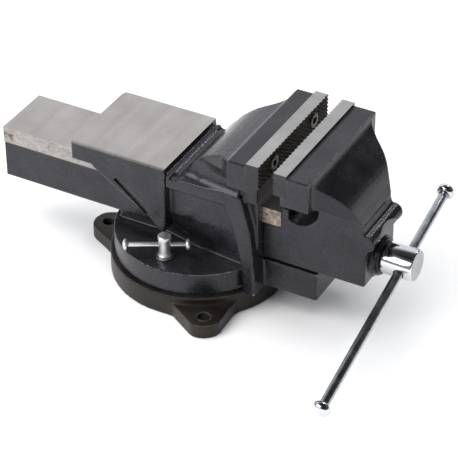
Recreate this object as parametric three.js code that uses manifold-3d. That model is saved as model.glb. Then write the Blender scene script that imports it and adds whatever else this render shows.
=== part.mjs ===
// Engineer's bench vise with a swivel base, an anvil and a square slide, as separate pieces.
// Millimetres. +X points to the handle end, +Z up. The origin is on the swivel axis, on the
// underside of the base. Left is the -Y side and right the +Y side, seen from the handle.

import * as THREE from 'three';
import { mergeVertices } from 'three/addons/utils/BufferGeometryUtils.js';
import Module from 'manifold-3d';

const wasm = await Module();
wasm.setup();

// Clearances
const runningGap = 0.3;
const restGap = 0.3;

// Swivel base
const baseRadius = 94.5;
const baseThickness = 25;
const lugThickness = 16;
const lugReach = 34.2;
const lugHoleReach = 18;
const lugHoleRadius = 6.5;
const lugAngles = [180, -59, 59];
const slotInset = 26.4;
const slotClearance = 0.5;
const slotCavityClearance = 4;
const slotFloor = 6;
const slotLip = 8;
const nutEntryAngles = [120, -120];

// Swivel plate and pivot under the body
const swivelInset = 4.5;
const swivelThickness = 26;
const pivotRadius = 18;
const pivotLength = 14;

// Slide of the moving jaw, and the channel it runs in
const slideHalfWidth = 35.1;
const slideHeight = 62;
const slideTopWall = 13;
const slideOverhang = 422.4;
const railHeight = 18;
const railProud = 1.5;
const pedestalHeight = 11.7;
const channelWall = 8.9;

// Body: front column, flange, anvil, rear web and front shelf
const bodyFront = 93;
const columnProud = 10.6;
const flangeThickness = 16.5;
const anvilFront = -9.7;
const anvilLength = 110.1;
const anvilThickness = 20.7;
const anvilRise = 23.2;
const webReach = 67;
const shelfLength = 60;
const shelfClearance = 1.7;
const shelfDrop = 3.5;

// Jaws
const jawWidth = 150;
const jawRise = 75.8;
const jawOpening = 13.8;
const jawOverhang = 1;
const plateThickness = 15;
const plateHeight = 25.3;
const plateProud = 3;
const plateScrewInset = 32;
const ledgeThickness = 7.3;
const ledgeSetback = 6.8;
const fixedBlockDepth = 21;
const movingBlockDepth = 23.4;
const movingJawDrop = 1;
const rampStart = 4;
const rampBend = 18;
const rampCrown = 14.5;
const rampDrop = 10.3;
const rampRearHalf = 41;
const rampFrontHalf = 50;
const rampFlareLength = 52;
const rampFlareBend = 10;
const rampFlareInset = 4;
const rampFlareDepth = 6;
const headShoulder = 8.5;
const headStep = 6.5;
const headBulge = 28;
const headBulgeHeight = 47;
const headFootSetback = 6.9;
const headFootHeight = 15;
const scoopRadius = 22;
const scoopRise = 12;
const scoopSetback = 7.4;
const headDepth = 67.2;
const beadRadius = 9.5;
const bossLength = 4.5;
const frontWall = 15;

// Screw, nut and the parts that hold the screw in the moving jaw
const screwRadius = 14;
const screwRise = 20;
const screwLength = 355;
const screwHeadRadius = 16.8;
const screwHeadLength = 34.4;
const nutWall = 4.5;
const nutLength = 50;
const nutCentre = 35;
const nutTailRadius = 13;
const nutTailLength = 18;
const hollowClearance = 3.5;
const nutBoltRadius = 6;
const nutBoltHeadRadius = 10;
const nutBoltHeadHeight = 8;
const washerThickness = 2;
const washerWidth = 5.5;
const collarLength = 12;
const collarWall = 5;
const collarPinRadius = 2.5;
const springWire = 1.5;
const springLength = 14;
const springTurns = 3;

// Handle
const handleRadius = 5;
const handleLength = 300;
const handleTilt = 16.3;
const handleShift = -45.8;
const handleHoleSetback = 13.4;
const knobRadius = 9.4;
const knobLength = 10;

// Swivel locks
const lockAngle = 92.5;
const lockBoltRadius = 5;
const lockHeadRadius = 5.8;
const lockCapRadius = 7;
const lockHeadLength = 24.5;
const lockWasherRadius = 9.6;
const lockWasherThickness = 2.2;
const lockBarRadius = 2.4;
const lockBarLength = 70;
const lockBarDrop = 11.5;
const lockBarToWall = 11;
const lockBarShift = 8;
const lockKnobRadius = 6;
const lockKnobLength = 5.6;
const lockNutWidth = 24;
const lockNutLength = 20;
const lockNutHeight = 9;
const lockNutWall = 2.2;

// Jaw plate screws
const jawScrewRadius = 4;
const jawScrewHeadRadius = 8;
const jawScrewHeadDepth = 5;
const jawScrewLength = 32;
const jawScrewSocket = 3.2;

// Heights and places that follow from the sizes above
const swivelRadius = baseRadius - swivelInset;
const slotRadius = baseRadius - slotInset;
const plateBottom = baseThickness + restGap;
const plateTop = plateBottom + swivelThickness;
const slideBottom = plateTop + pedestalHeight;
const slideTop = slideBottom + slideHeight;
const screwHeight = slideBottom + screwRise;
const flangeTop = slideTop + flangeThickness;
const anvilTop = slideTop + anvilRise;
const anvilBottom = anvilTop - anvilThickness;
const anvilRear = anvilFront - anvilLength;
const jawTop = slideTop + jawRise;
const channelHalf = slideHalfWidth + runningGap;
const coreHalf = channelHalf + channelWall;
const columnHalf = coreHalf + columnProud;
const jawHalf = jawWidth / 2;
const fixedSeat = bodyFront + jawOverhang;
const fixedFace = fixedSeat + restGap + plateThickness;
const movingFace = fixedFace + jawOpening;
const movingSeat = movingFace + plateThickness + restGap;
const movingTop = jawTop - movingJawDrop;
const headFront = movingSeat + headDepth;
const slideRear = headFront - slideOverhang;
const nutHalf = screwRadius + nutWall;
const hollowHalf = nutHalf + hollowClearance;
const hollowTop = slideTop - slideTopWall;
const plateScrewSide = jawHalf - plateScrewInset;
const screwHeadStart = headFront + bossLength + 2 * restGap + washerThickness;
const handleHole = screwHeadStart + screwHeadLength - handleHoleSetback;
const lockHeadBottom = plateTop + 2 * restGap + lockWasherThickness;
const lockHeadTop = lockHeadBottom + lockHeadLength;
const slotRoof = baseThickness - slotLip;
const nutEntryRadius = Math.hypot(lockNutWidth, lockNutLength) / 2 + 1;
const lockNutNeck = 2 * (lockBoltRadius + restGap + lockNutWall);
const slotNeckWidth = lockNutNeck + 2 * slotClearance;
const slotCavityWidth = lockNutWidth + 2 * slotCavityClearance;

// Facets round the large discs
const discSides = 72;

// Materials
function metal(color, metalness, roughness) {
  return new THREE.MeshStandardMaterial({ color, metalness, roughness });
}
const paintedIron = metal(0x37363a, 0.3, 0.45);
const darkIron = metal(0x35302d, 0.4, 0.6);
const hardSteel = metal(0x6e6a66, 0.9, 0.45);
const brightSteel = metal(0xb9bcc0, 1, 0.18);
const blackSteel = metal(0x2a2a2c, 0.8, 0.5);

// Solids and shapes

function solid(geometry) {
  const bare = geometry.clone();
  bare.deleteAttribute('normal');
  bare.deleteAttribute('uv');
  const merged = mergeVertices(bare, 1e-4);
  const corners = merged.index.array;
  const kept = [];
  for (let i = 0; i < corners.length; i += 3) {
    const [a, b, c] = corners.slice(i, i + 3);
    if (a !== b && b !== c && c !== a) kept.push(a, b, c);
  }
  return new wasm.Manifold(new wasm.Mesh({
    numProp: 3,
    vertProperties: merged.attributes.position.array,
    triVerts: new Uint32Array(kept),
  }));
}

function geometryOf(body) {
  const mesh = body.getMesh();
  const geometry = new THREE.BufferGeometry();
  geometry.setAttribute('position', new THREE.BufferAttribute(mesh.vertProperties, 3));
  geometry.setIndex(new THREE.BufferAttribute(mesh.triVerts, 1));
  geometry.computeVertexNormals();
  return geometry;
}

// A closed outline through corners [u, v, radius]; a corner with a radius is rounded.
function outline(corners) {
  const shape = new THREE.Shape();
  corners.forEach(([u, v, radius = 0], i) => {
    const corner = new THREE.Vector2(u, v);
    const before = new THREE.Vector2(...corners.at(i - 1).slice(0, 2)).sub(corner);
    const after = new THREE.Vector2(...corners[(i + 1) % corners.length].slice(0, 2)).sub(corner);
    const reach = Math.min(radius, before.length() * 0.49, after.length() * 0.49);
    const start = corner.clone().add(before.setLength(reach));
    const end = corner.clone().add(after.setLength(reach));
    if (i === 0) shape.moveTo(start.x, start.y);
    else shape.lineTo(start.x, start.y);
    if (reach > 0) shape.quadraticCurveTo(u, v, end.x, end.y);
  });
  return shape;
}

function extruded(shape, depth) {
  return new THREE.ExtrudeGeometry(shape, { depth, bevelEnabled: false, curveSegments: 5 });
}

// Outline in X and Z, pushed through from -half to +half along Y.
function acrossY(shape, half) {
  return solid(extruded(shape, 2 * half).rotateX(Math.PI / 2).translate(0, half, 0));
}

// Outline in Y and Z, pushed from x0 to x1.
function alongX(shape, x0, x1) {
  const geometry = extruded(shape, x1 - x0).rotateX(Math.PI / 2).rotateZ(Math.PI / 2);
  return solid(geometry.translate(x0, 0, 0));
}

// Outline in X and Y, pushed from z0 to z1.
function upZ(shape, z0, z1) {
  return solid(extruded(shape, z1 - z0).translate(0, 0, z0));
}

function block(x0, x1, y0, y1, z0, z1) {
  const box = new THREE.BoxGeometry(x1 - x0, y1 - y0, z1 - z0);
  return solid(box.translate((x0 + x1) / 2, (y0 + y1) / 2, (z0 + z1) / 2));
}

// Profile [radius, height] turned about Z. It runs up the outside, from and to the axis or a bore.
function turned(profile, sides = 32) {
  const points = profile.map(([radius, height]) => new THREE.Vector2(radius, height));
  return new THREE.LatheGeometry(points, sides).rotateX(Math.PI / 2);
}

function rod(radius, z0, z1, sides = 24) {
  return turned([[0, z0], [radius, z0], [radius, z1], [0, z1]], sides);
}

function ring(inner, outer, z0, z1, sides = 32) {
  return turned([[inner, z0], [outer, z0], [outer, z1], [inner, z1], [inner, z0]], sides);
}

// Turns a piece made about Z so that its axis lies along X, at the screw's height.
function ontoScrewAxis(geometry) {
  return geometry.rotateY(Math.PI / 2).translate(0, 0, screwHeight);
}

// Swivel base: disc with an annular T slot, three lugs and a blind pivot bore

function lug(angle) {
  const root = baseRadius - 3.5;
  const tip = baseRadius + lugReach;
  const plan = outline([
    [root - 31, -44], [root - 8, -44.5], [root, -31.5, 9], [tip, -13.6, 12],
    [tip, 13.6, 12], [root, 31.5, 9], [root - 8, 44.5], [root - 31, 44],
  ]);
  const hole = new THREE.Path();
  hole.absarc(baseRadius + lugHoleReach, 0, lugHoleRadius, 0, 2 * Math.PI, true);
  plan.holes.push(hole);
  const geometry = new THREE.ExtrudeGeometry(plan, {
    depth: lugThickness, bevelEnabled: false, curveSegments: 8,
  });
  return solid(geometry.rotateZ(THREE.MathUtils.degToRad(angle)));
}

function swivelBase() {
  const rim = 1.5;
  let base = solid(turned([
    [0, 0], [baseRadius, 0], [baseRadius, baseThickness - rim],
    [baseRadius - rim, baseThickness], [0, baseThickness],
  ], discSides));
  for (const angle of lugAngles) base = base.add(lug(angle));
  const neckHalf = slotNeckWidth / 2;
  const cavityHalf = slotCavityWidth / 2;
  const slot = turned([
    [slotRadius - cavityHalf, slotFloor], [slotRadius + cavityHalf, slotFloor],
    [slotRadius + cavityHalf, slotRoof], [slotRadius + neckHalf, slotRoof],
    [slotRadius + neckHalf, baseThickness + 1], [slotRadius - neckHalf, baseThickness + 1],
    [slotRadius - neckHalf, slotRoof], [slotRadius - cavityHalf, slotRoof],
    [slotRadius - cavityHalf, slotFloor],
  ], discSides);
  base = base.subtract(solid(slot));
  for (const degrees of nutEntryAngles) {
    const angle = THREE.MathUtils.degToRad(degrees);
    const entry = rod(nutEntryRadius, -1, slotFloor + 1);
    entry.translate(slotRadius * Math.cos(angle), slotRadius * Math.sin(angle), 0);
    base = base.subtract(solid(entry));
  }
  const bore = rod(pivotRadius + runningGap, plateBottom - pivotLength - 1, baseThickness + 1);
  return base.subtract(solid(bore));
}

// Body: swivel plate, front column, flange, ramp, fixed jaw block, anvil, web and shelf

function lockPlace(side) {
  const angle = THREE.MathUtils.degToRad(side * lockAngle);
  return [slotRadius * Math.cos(angle), slotRadius * Math.sin(angle)];
}

function frontColumn() {
  const side = outline([
    [bodyFront - 32, slideTop - 2], [bodyFront - 32, flangeTop], [bodyFront - 16, flangeTop],
    [bodyFront - 5, slideTop - 24], [bodyFront, slideBottom - 20], [bodyFront, plateBottom],
    [bodyFront - 12, plateBottom], [bodyFront - 16, slideBottom - 2],
  ]);
  return acrossY(side, columnHalf);
}

function innerCore() {
  const section = outline([
    [-coreHalf + 4, plateTop - 1], [coreHalf - 4, plateTop - 1], [coreHalf, slideBottom + 12, 10],
    [coreHalf, flangeTop - 2], [-coreHalf, flangeTop - 2], [-coreHalf, slideBottom + 12, 10],
  ]);
  return alongX(section, anvilFront - 12, bodyFront - 1);
}

function rearWeb() {
  const webRear = anvilFront - webReach;
  const side = outline([
    [webRear - 17, anvilBottom + 1], [webRear - 17, anvilBottom - 3], [anvilFront - 18, slideBottom + 19],
    [anvilFront - 8, plateTop + 20, 8], [anvilFront, plateTop + 27], [anvilFront, anvilBottom + 1],
  ]);
  return acrossY(side, columnHalf);
}

function anvil() {
  const corner = 7;
  const edge = 1.5;
  const plan = outline([
    [anvilRear, -columnHalf], [anvilFront, -columnHalf], [anvilFront, columnHalf],
    [anvilRear, columnHalf, corner],
  ]);
  const lower = upZ(plan, anvilBottom, anvilTop - edge);
  const section = outline([
    [-columnHalf, anvilTop - edge - 1], [columnHalf, anvilTop - edge - 1],
    [columnHalf, anvilTop - edge], [columnHalf - edge, anvilTop],
    [-columnHalf + edge, anvilTop], [-columnHalf, anvilTop - edge],
  ]);
  const upper = alongX(section, anvilRear, anvilFront).intersect(upZ(plan, anvilBottom, anvilTop + 1));
  return lower.add(upper);
}

function flange() {
  const section = outline([
    [-columnHalf, slideTop + 2], [columnHalf, slideTop + 2], [columnHalf, flangeTop, 2.5],
    [-columnHalf, flangeTop, 2.5],
  ]);
  return alongX(section, anvilFront - 1, bodyFront - 16);
}

// Curved ramp behind the fixed jaw. Its upper part widens in plan up to the jaw block's ends.
function ramp() {
  const foot = flangeTop - 1;
  const rear = fixedSeat - fixedBlockDepth + 1;
  const top = jawTop - rampDrop;
  const side = new THREE.Shape();
  side.moveTo(rampStart, foot);
  side.quadraticCurveTo(rampStart + rampBend, top - rampCrown, rear, top);
  side.lineTo(bodyFront, top);
  side.lineTo(bodyFront, foot);
  const flareStart = rear - rampFlareLength;
  const flareHalf = jawHalf - rampFlareInset;
  const lower = outline([
    [rampStart - 1, -rampRearHalf], [rear, -rampFrontHalf], [bodyFront, -rampFrontHalf],
    [bodyFront, rampFrontHalf], [rear, rampFrontHalf], [rampStart - 1, rampRearHalf],
  ]);
  const upper = new THREE.Shape();
  upper.moveTo(flareStart, -rampRearHalf);
  upper.quadraticCurveTo(rear - rampFlareBend, -rampFrontHalf, rear, -flareHalf);
  upper.lineTo(rear, flareHalf);
  upper.quadraticCurveTo(rear - rampFlareBend, rampFrontHalf, flareStart, rampRearHalf);
  const flareBottom = jawTop - plateHeight - restGap - ledgeThickness - rampFlareDepth;
  return acrossY(side, jawHalf).intersect(
    upZ(lower, foot - 1, top + 1).add(upZ(upper, flareBottom, top + 1)));
}

function fixedJawBlock() {
  const bottom = jawTop - plateHeight - restGap - ledgeThickness;
  const rear = fixedSeat - fixedBlockDepth;
  const ledgeTop = bottom + ledgeThickness;
  const side = outline([
    [rear, bottom], [fixedFace - ledgeSetback, bottom], [fixedFace - restGap, ledgeTop],
    [fixedSeat, ledgeTop], [fixedSeat, jawTop - plateProud, 1.2], [rear, jawTop - plateProud, 2.5],
  ]);
  return acrossY(side, jawHalf);
}

function underJaw() {
  const bottom = jawTop - plateHeight - restGap - ledgeThickness;
  const section = outline([
    [-coreHalf - 6, flangeTop - 2], [coreHalf + 6, flangeTop - 2], [coreHalf + 7, flangeTop + 8, 6],
    [coreHalf + 20, bottom + 2], [-coreHalf - 20, bottom + 2], [-coreHalf - 7, flangeTop + 8, 6],
  ]);
  return alongX(section, fixedSeat - fixedBlockDepth + 1, bodyFront);
}

function viseBody() {
  const rim = 1.5;
  const plate = turned([
    [0, plateBottom], [swivelRadius, plateBottom], [swivelRadius, plateTop - rim],
    [swivelRadius - rim, plateTop], [0, plateTop],
  ], discSides);
  const shelfTop = slideBottom - shelfDrop;
  const pedestalHalf = channelHalf - 7;
  const sideHalf = slideHalfWidth - railProud;
  let body = solid(plate);
  body = body.add(solid(rod(pivotRadius, plateBottom - pivotLength, plateBottom + 1)));
  body = body.add(block(-swivelRadius + 10, bodyFront, -pedestalHalf, pedestalHalf, plateTop - 1,
    slideBottom - restGap));
  body = body.add(innerCore());
  body = body.add(frontColumn());
  body = body.add(rearWeb());
  body = body.add(anvil());
  body = body.add(flange());
  body = body.add(ramp());
  body = body.add(underJaw());
  body = body.add(fixedJawBlock());
  body = body.add(block(bodyFront - 1, bodyFront + shelfLength, -sideHalf, sideHalf,
    plateBottom + shelfClearance, shelfTop));
  const channel = block(anvilRear - 1, bodyFront + 1, -channelHalf, channelHalf,
    slideBottom - restGap, slideTop + runningGap);
  body = body.subtract(channel);
  return drilledBody(body);
}

function drilledBody(casting) {
  let body = casting;
  for (const side of [-1, 1]) {
    const [x, y] = lockPlace(side);
    const hole = rod(lockBoltRadius + runningGap, plateBottom - 1, plateTop + 1);
    body = body.subtract(solid(hole.translate(x, y, 0)));
    const blind = rod(jawScrewRadius + restGap, 0, jawScrewLength + 1, 16).rotateY(-Math.PI / 2);
    blind.translate(fixedFace + restGap, side * plateScrewSide, jawTop - plateHeight / 2);
    body = body.subtract(solid(blind));
  }
  const nutBoltHead = rod(nutBoltHeadRadius + washerWidth / 2, plateBottom - 1, nutBoltSeat());
  const nutBoltHole = rod(nutBoltRadius + restGap, plateBottom, plateTop);
  const tailBore = rod(nutTailRadius + restGap, slideBottom - nutTailLength - restGap, slideBottom);
  for (const cut of [nutBoltHead, nutBoltHole, tailBore]) {
    body = body.subtract(solid(cut.translate(nutCentre, 0, 0)));
  }
  return body;
}

// Jaw plates with two countersunk screws each

// A countersunk socket screw along Z with its face at height 0, pointing down.
function jawScrew() {
  const tip = 1;
  const stem = turned([
    [0, -jawScrewLength], [jawScrewRadius - tip, -jawScrewLength],
    [jawScrewRadius, -jawScrewLength + tip], [jawScrewRadius, -jawScrewHeadDepth],
    [jawScrewHeadRadius, -1], [jawScrewHeadRadius, 0], [0, 0],
  ], 16);
  const socket = rod(jawScrewSocket, -jawScrewHeadDepth + 1.5, 1, 6);
  return solid(stem).subtract(solid(socket));
}

function screwSeat() {
  const wide = jawScrewHeadRadius + restGap;
  const narrow = jawScrewRadius + restGap;
  return turned([
    [0, -plateThickness - 2], [narrow, -plateThickness - 2], [narrow, -jawScrewHeadDepth - restGap],
    [wide, -1 - restGap], [wide, 2], [0, 2],
  ], 16);
}

function jawPlate(face, facing, top) {
  const back = face - facing * plateThickness;
  const bottom = top - plateHeight;
  let plate = block(Math.min(back, face), Math.max(back, face), -jawHalf, jawHalf, bottom, top);
  for (const y of [-plateScrewSide, plateScrewSide]) {
    const seat = screwSeat().rotateY(facing * Math.PI / 2);
    plate = plate.subtract(solid(seat.translate(face, y, top - plateHeight / 2)));
  }
  return plate;
}

// Moving jaw: head with the jaw block, and the hollow slide, open underneath

function slideSection() {
  const side = slideHalfWidth - railProud;
  const railBottom = slideTop - railHeight;
  return outline([
    [side, slideBottom], [side, railBottom], [slideHalfWidth, railBottom], [slideHalfWidth, slideTop, 1],
    [-slideHalfWidth, slideTop, 1], [-slideHalfWidth, railBottom], [-side, railBottom],
    [-side, slideBottom], [-hollowHalf, slideBottom], [-hollowHalf, hollowTop, 4],
    [hollowHalf, hollowTop, 4], [hollowHalf, slideBottom],
  ]);
}

// Curve of the head's front, from the jaw block's top edge down to the slide.
function headFrontCurve(shape, blockTop) {
  const blockFront = movingSeat + movingBlockDepth;
  shape.lineTo(headFront, slideTop - 3);
  shape.lineTo(headFront - 2, slideTop + 2);
  shape.lineTo(headFront - headFootSetback, slideTop + headFootHeight);
  shape.quadraticCurveTo(blockFront + headBulge, slideTop + headBulgeHeight,
    blockFront + 0.5, blockTop - headStep);
}

function movingHead() {
  const bottom = movingTop - plateHeight - restGap - ledgeThickness;
  const ledgeTop = bottom + ledgeThickness;
  const blockTop = movingTop - plateProud;
  const blockFront = movingSeat + movingBlockDepth;
  const neckHalf = slideHalfWidth - railProud;
  const deep = slideTop - 30;
  const jawBlock = outline([
    [movingSeat - ledgeSetback, bottom], [movingSeat - ledgeSetback, ledgeTop],
    [movingSeat, ledgeTop], [movingSeat, blockTop, 1.2], [blockFront, blockTop, 2.5],
    [blockFront, bottom],
  ].reverse());
  const scoopX = movingSeat - scoopSetback;
  const scoopZ = slideTop + scoopRise;
  const meeting = Math.asin(scoopRise / scoopRadius);
  const neck = new THREE.Shape();
  neck.moveTo(fixedFace + 3, slideTop);
  neck.lineTo(fixedFace + 3, deep);
  neck.lineTo(headFront, deep);
  headFrontCurve(neck, blockTop);
  neck.lineTo(scoopX + scoopRadius - 2, bottom + 1);
  neck.absarc(scoopX, scoopZ, scoopRadius, 0, -Math.PI + meeting, true);
  const shell = new THREE.Shape();
  shell.moveTo(blockFront - 2, bottom);
  shell.lineTo(headFront - headFootSetback, slideTop + headFootHeight);
  shell.quadraticCurveTo(blockFront + headBulge, slideTop + headBulgeHeight,
    blockFront + 0.5, blockTop - headStep);
  shell.lineTo(blockFront - 2, blockTop - headStep);
  const shellHalf = jawHalf - headShoulder;
  const plan = new THREE.Shape();
  plan.moveTo(blockFront - 3, -shellHalf);
  plan.lineTo(blockFront, -shellHalf);
  plan.quadraticCurveTo(blockFront + 22, -neckHalf - 17, headFront - 5, -neckHalf);
  plan.lineTo(headFront - 5, neckHalf);
  plan.quadraticCurveTo(blockFront + 22, neckHalf + 17, blockFront, shellHalf);
  plan.lineTo(blockFront - 3, shellHalf);
  return acrossY(jawBlock, jawHalf)
    .add(acrossY(neck, neckHalf))
    .add(acrossY(shell, jawHalf).intersect(upZ(plan, slideTop, movingTop)));
}

function movingJaw() {
  const side = slideHalfWidth - railProud;
  const bead = turned([
    [0, -side - 3], [beadRadius - 3, -side - 3], [beadRadius, -side], [beadRadius, side],
    [beadRadius - 3, side + 3], [0, side + 3],
  ], 20).rotateX(Math.PI / 2);
  let jaw = alongX(slideSection(), slideRear, headFront - frontWall + 1);
  jaw = jaw.add(block(headFront - frontWall, headFront, -side, side, slideBottom, slideTop - 1));
  jaw = jaw.add(movingHead());
  jaw = jaw.add(solid(bead.translate(headFront - 1, 0, slideTop - beadRadius)));
  const bossRadius = screwRadius + washerWidth + 1.5;
  const boss = rod(bossRadius, headFront - 1, headFront + bossLength);
  jaw = jaw.add(solid(ontoScrewAxis(boss)));
  const washerSeat = rod(bossRadius, headFront + bossLength, headFront + bossLength + 20);
  jaw = jaw.subtract(solid(ontoScrewAxis(washerSeat)));
  const hollow = block(fixedFace, headFront - frontWall, -hollowHalf, hollowHalf, slideBottom - 1,
    hollowTop);
  jaw = jaw.subtract(hollow);
  const bore = rod(screwRadius + runningGap, headFront - frontWall - 1, headFront + bossLength + 1);
  jaw = jaw.subtract(solid(ontoScrewAxis(bore)));
  for (const y of [-plateScrewSide, plateScrewSide]) {
    const blind = rod(jawScrewRadius + restGap, 0, jawScrewLength + 1, 16).rotateY(Math.PI / 2);
    blind.translate(movingFace - restGap, y, movingTop - plateHeight / 2);
    jaw = jaw.subtract(solid(blind));
  }
  return jaw;
}

// Lead nut, held to the body by one bolt from below

function nutBoltSeat() {
  return plateBottom + restGap + nutBoltHeadHeight + washerThickness + 2 * restGap;
}

function leadNut() {
  const section = new THREE.Shape();
  section.moveTo(-nutHalf, slideBottom);
  section.lineTo(nutHalf, slideBottom);
  section.lineTo(nutHalf, screwHeight);
  section.absarc(0, screwHeight, nutHalf, 0, Math.PI, false);
  const start = nutCentre - nutLength / 2;
  const tailBottom = slideBottom - nutTailLength;
  let nut = alongX(section, start, start + nutLength);
  const tail = rod(nutTailRadius, tailBottom, slideBottom + 2);
  nut = nut.add(solid(tail.translate(nutCentre, 0, 0)));
  const bore = rod(screwRadius + runningGap, start - 1, start + nutLength + 1);
  nut = nut.subtract(solid(ontoScrewAxis(bore)));
  const thread = rod(nutBoltRadius + restGap, tailBottom - 1, slideBottom + 2, 20);
  return nut.subtract(solid(thread.translate(nutCentre, 0, 0)));
}

function nutBolt() {
  const headBottom = plateBottom + restGap;
  const headTop = headBottom + nutBoltHeadHeight;
  const head = rod(nutBoltHeadRadius, headBottom, headTop, 6).translate(nutCentre, 0, 0);
  const shank = rod(nutBoltRadius, headTop - 1, slideBottom + 1.5, 20).translate(nutCentre, 0, 0);
  return solid(head).add(solid(shank));
}

function nutBoltWasher() {
  const bottom = nutBoltSeat() - restGap - washerThickness;
  const washer = ring(nutBoltRadius + restGap, nutBoltHeadRadius + 1, bottom, bottom + washerThickness);
  return washer.translate(nutCentre, 0, 0);
}

// Lead screw: plain shank in the jaw, threaded length behind it, head with a cross hole

function leadScrew() {
  const rear = headFront - screwLength;
  const chamfer = 2;
  const headEnd = screwHeadStart + screwHeadLength;
  const screw = ontoScrewAxis(turned([
    [0, rear], [screwRadius - chamfer, rear], [screwRadius, rear + chamfer],
    [screwRadius, screwHeadStart], [screwHeadRadius - 1, screwHeadStart],
    [screwHeadRadius, screwHeadStart + 1], [screwHeadRadius, headEnd - 2.5],
    [screwHeadRadius - 2.5, headEnd], [0, headEnd],
  ]));
  const across = rod(handleRadius + runningGap, -30, 30).rotateX(handleAngle());
  const pinLength = screwRadius + 1;
  const pinHole = rod(collarPinRadius + restGap, -pinLength, pinLength, 16);
  return solid(screw)
    .subtract(solid(across.translate(handleHole, 0, screwHeight)))
    .subtract(solid(pinHole.translate(collarCentre(), 0, screwHeight)));
}

function collarCentre() {
  return headFront - frontWall - 2 * restGap - springLength - collarLength / 2;
}

function thrustWasher() {
  const start = headFront + bossLength + restGap;
  return ontoScrewAxis(ring(screwRadius + restGap, screwRadius + washerWidth, start,
    start + washerThickness));
}

function retainingSpring() {
  const start = headFront - frontWall - restGap - springWire;
  const coil = new THREE.CatmullRomCurve3();
  const stepsPerTurn = 9;
  const steps = springTurns * stepsPerTurn;
  const pitch = (springLength - 2 * springWire) / springTurns;
  const radius = screwRadius + runningGap + 2 * springWire;
  for (let i = 0; i <= steps; i += 1) {
    const turn = (i / stepsPerTurn) * 2 * Math.PI;
    const x = start - (i / stepsPerTurn) * pitch;
    coil.points.push(new THREE.Vector3(x, radius * Math.cos(turn), radius * Math.sin(turn)));
  }
  const wire = new THREE.Shape();
  wire.absarc(0, 0, springWire, 0, 2 * Math.PI, false);
  const geometry = new THREE.ExtrudeGeometry(wire, {
    extrudePath: coil, steps, curveSegments: 3, bevelEnabled: false,
  });
  return geometry.translate(0, 0, screwHeight);
}

function retainingCollar() {
  const centre = collarCentre();
  const outer = screwRadius + collarWall;
  const half = collarLength / 2;
  const collar = ontoScrewAxis(ring(screwRadius + restGap, outer, centre - half, centre + half));
  const pinHole = rod(collarPinRadius + restGap, -outer - 1, outer + 1, 16);
  return solid(collar).subtract(solid(pinHole.translate(centre, 0, screwHeight)));
}

function collarPin() {
  const half = screwRadius + collarWall - 0.5;
  return rod(collarPinRadius, -half, half, 16).translate(collarCentre(), 0, screwHeight);
}

// Handle bar and knobs, made about Z and turned into the cross hole of the screw head

function handleAngle() {
  return -THREE.MathUtils.degToRad(90 - handleTilt);
}

function intoScrewHead(geometry) {
  return geometry.translate(0, 0, handleShift).rotateX(handleAngle())
    .translate(handleHole, 0, screwHeight);
}

// A bar between two knobs, along Z; the knob's blind hole takes the bar's end.
function barOf(radius, length) {
  const socketFloor = 2;
  return rod(radius, -length / 2 + socketFloor + restGap, length / 2 - socketFloor - restGap, 20);
}

function knobOf(radius, length, barRadius, barLength, end) {
  const outer = barLength / 2;
  const inner = outer - length;
  const dome = length * 0.25;
  const hole = barRadius + restGap;
  const socket = outer - 2;
  const knob = turned([
    [hole, inner], [radius - dome, inner], [radius, inner + dome], [radius, outer - dome],
    [radius - dome, outer], [0, outer], [0, socket], [hole, socket], [hole, inner],
  ], 20);
  return end > 0 ? knob : knob.rotateX(Math.PI);
}

// Swivel locks: bolt with a cross bar, washer and T nut, one on each side

function ontoLock(geometry, side) {
  const [x, y] = lockPlace(side);
  return geometry.translate(x, y, 0);
}

function lockBarHeight() {
  return lockHeadTop - lockBarDrop;
}

function lockBolt(side) {
  const bottom = slotFloor + 2;
  const top = lockHeadTop;
  const bolt = turned([
    [0, bottom], [lockBoltRadius - 1, bottom], [lockBoltRadius, bottom + 1],
    [lockBoltRadius, lockHeadBottom], [lockWasherRadius - 1.6, lockHeadBottom],
    [lockHeadRadius, lockHeadBottom + 3], [lockHeadRadius, top - 6], [lockCapRadius, top - 4],
    [lockCapRadius, top - 1], [lockCapRadius - 1, top], [0, top],
  ], 20);
  const across = rod(lockBarRadius + runningGap, -20, 20, 12).rotateY(Math.PI / 2)
    .rotateZ(lockBarAngle(side)).translate(0, 0, lockBarHeight());
  const drilled = geometryOf(solid(bolt).subtract(solid(across)));
  return ontoLock(drilled, side);
}

function lockWasher(side) {
  const bottom = plateTop + restGap;
  const washer = ring(lockBoltRadius + runningGap, lockWasherRadius, bottom,
    bottom + lockWasherThickness, 24);
  return ontoLock(washer, side);
}

function lockNut(side) {
  const bottom = slotRoof - restGap - lockNutHeight;
  const angle = THREE.MathUtils.degToRad(side * lockAngle);
  let nut = block(-lockNutWidth / 2, lockNutWidth / 2, -lockNutLength / 2, lockNutLength / 2, bottom,
    bottom + lockNutHeight);
  nut = nut.add(block(-lockNutNeck / 2, lockNutNeck / 2, -lockNutNeck * 0.4, lockNutNeck * 0.4,
    bottom + lockNutHeight - 1, baseThickness - 2));
  nut = nut.subtract(solid(rod(lockBoltRadius + restGap, bottom - 1, baseThickness, 20)));
  return ontoLock(geometryOf(nut).rotateZ(angle), side);
}

// Each bar's front end leans towards the body and stops clear of its wall.
function lockBarAngle(side) {
  const room = Math.abs(lockPlace(side)[1]) - coreHalf - lockBarToWall;
  return -side * Math.asin(room / (lockBarLength / 2 - lockBarShift));
}

function intoLockHead(geometry, side) {
  geometry.rotateY(Math.PI / 2).translate(-lockBarShift, 0, 0);
  geometry.rotateZ(lockBarAngle(side)).translate(0, 0, lockBarHeight());
  return ontoLock(geometry, side);
}

// Assembly

const vise = new THREE.Group();

function place(name, shape, material) {
  const body = shape.isBufferGeometry ? solid(shape) : shape;
  const mesh = new THREE.Mesh(geometryOf(body), material);
  mesh.name = name;
  vise.add(mesh);
}

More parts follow.
